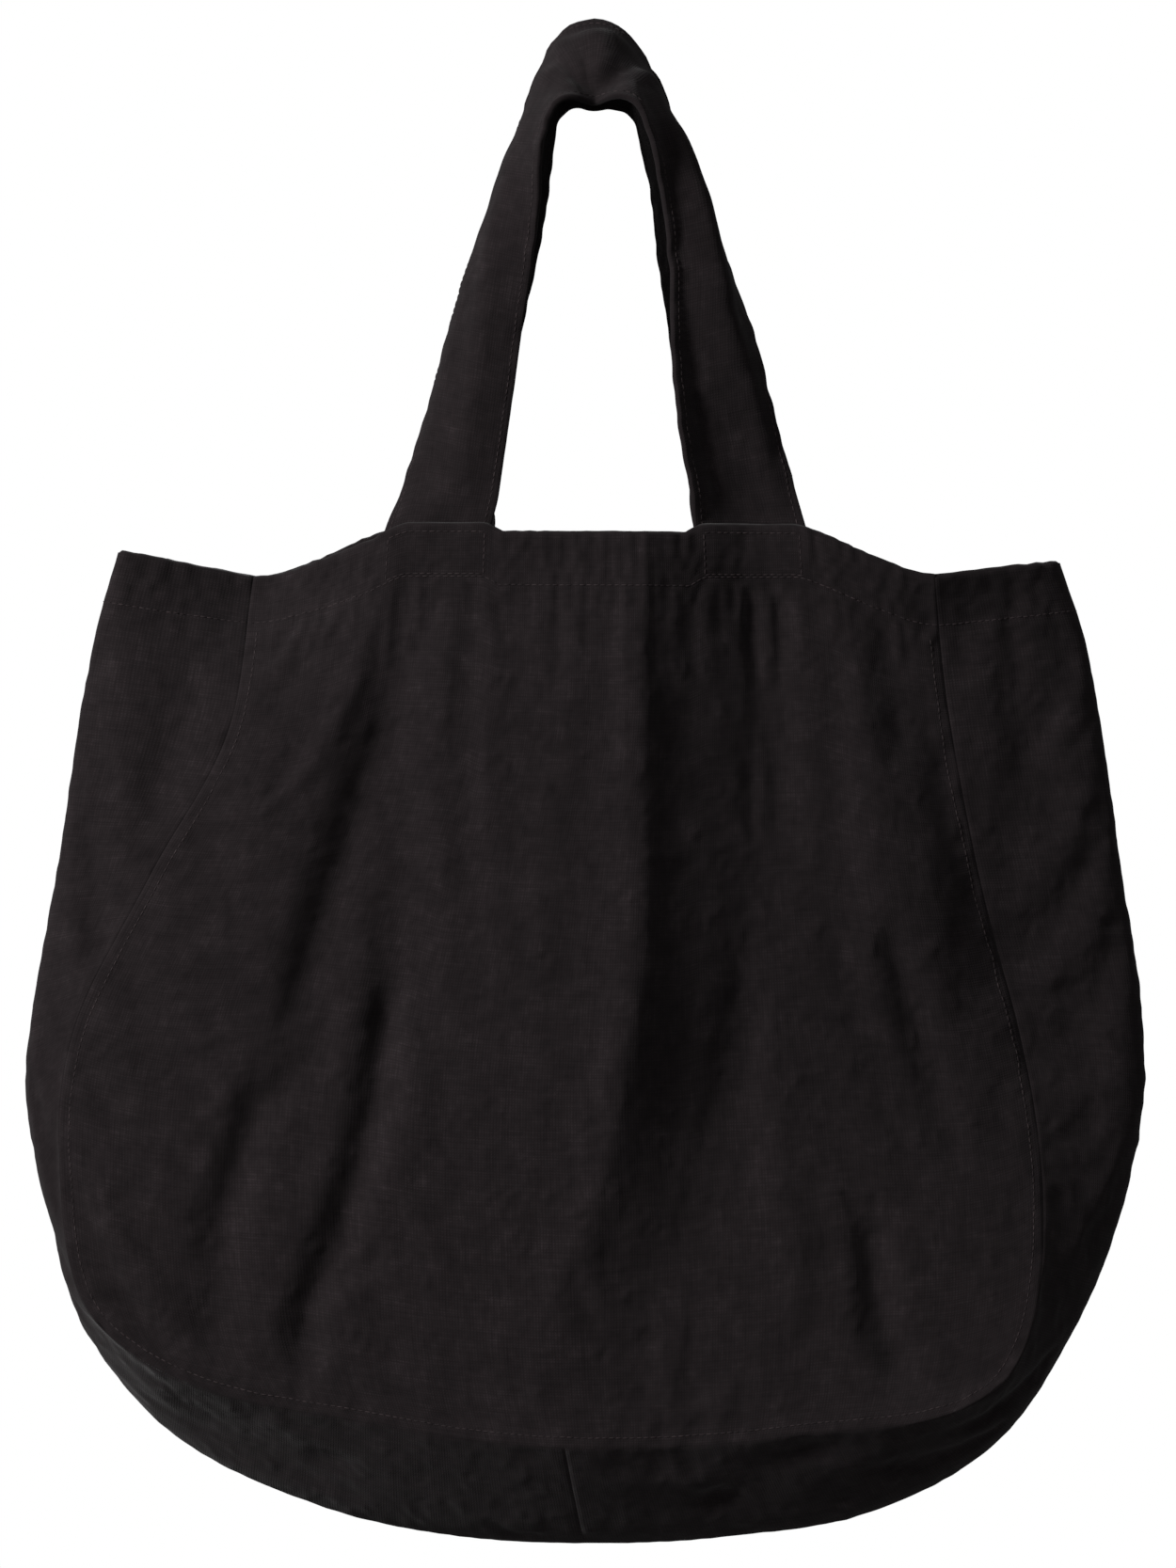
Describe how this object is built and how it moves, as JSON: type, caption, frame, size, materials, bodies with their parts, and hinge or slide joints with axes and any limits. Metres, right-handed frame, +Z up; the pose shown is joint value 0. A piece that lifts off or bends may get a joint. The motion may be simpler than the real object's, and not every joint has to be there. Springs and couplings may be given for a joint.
{
  "type": "canvas tote bag",
  "caption": "Large soft canvas tote bag with a hemmed mouth, a folded gusset round its sides and bottom, and wide sewn strap handles that fold down over the outside.",
  "frame": {"origin": "midway between the two handles, at the underside of their crowns, where the bag hangs on a peg or a hand", "axes": "+Z up, from the bottom fold to the handles; +X across the bag to the right seen from the front; front panel faces -Y, back panel faces +Y"},
  "size_m": [0.516, 0.1114, 0.7062],
  "materials": {
    "canvas": "washed near-black plain-weave canvas",
    "strap_canvas": "washed near-black canvas folded into a flat strap",
    "thread": "faded black cotton sewing thread"
  },
  "bodies": {
    "bag": {"front_panel": "canvas", "back_panel": "canvas", "left_gusset": "canvas", "right_gusset": "canvas", "front_hem": "canvas", "back_hem": "canvas", "left_gusset_hem": "canvas", "right_gusset_hem": "canvas", "front_seam_allowance": "canvas", "back_seam_allowance": "canvas", "front_hem_stitching": "thread", "back_hem_stitching": "thread", "left_gusset_hem_stitching": "thread", "right_gusset_hem_stitching": "thread", "front_seam_topstitching": "thread", "back_seam_topstitching": "thread", "front_box_stitching": "thread", "back_box_stitching": "thread", "front_left_strap_tail": "strap_canvas", "front_right_strap_tail": "strap_canvas", "back_left_strap_tail": "strap_canvas", "back_right_strap_tail": "strap_canvas"},
    "front_handle": {"front_handle": "strap_canvas", "front_handle_outer_stitching": "thread", "front_handle_inner_stitching": "thread"},
    "back_handle": {"back_handle": "strap_canvas", "back_handle_outer_stitching": "thread", "back_handle_inner_stitching": "thread"}
  },
  "joints": [
    {"name": "front_handle_fold", "type": "hinge", "parent": "bag", "child": "front_handle", "pos_m": [0, -0.03442, -0.18374], "axis": [1, 0, 0], "range_deg": [0, 165]},
    {"name": "back_handle_fold", "type": "hinge", "parent": "bag", "child": "back_handle", "pos_m": [0, 0.03442, -0.18374], "axis": [-1, 0, 0], "range_deg": [0, 165]}
  ]
}
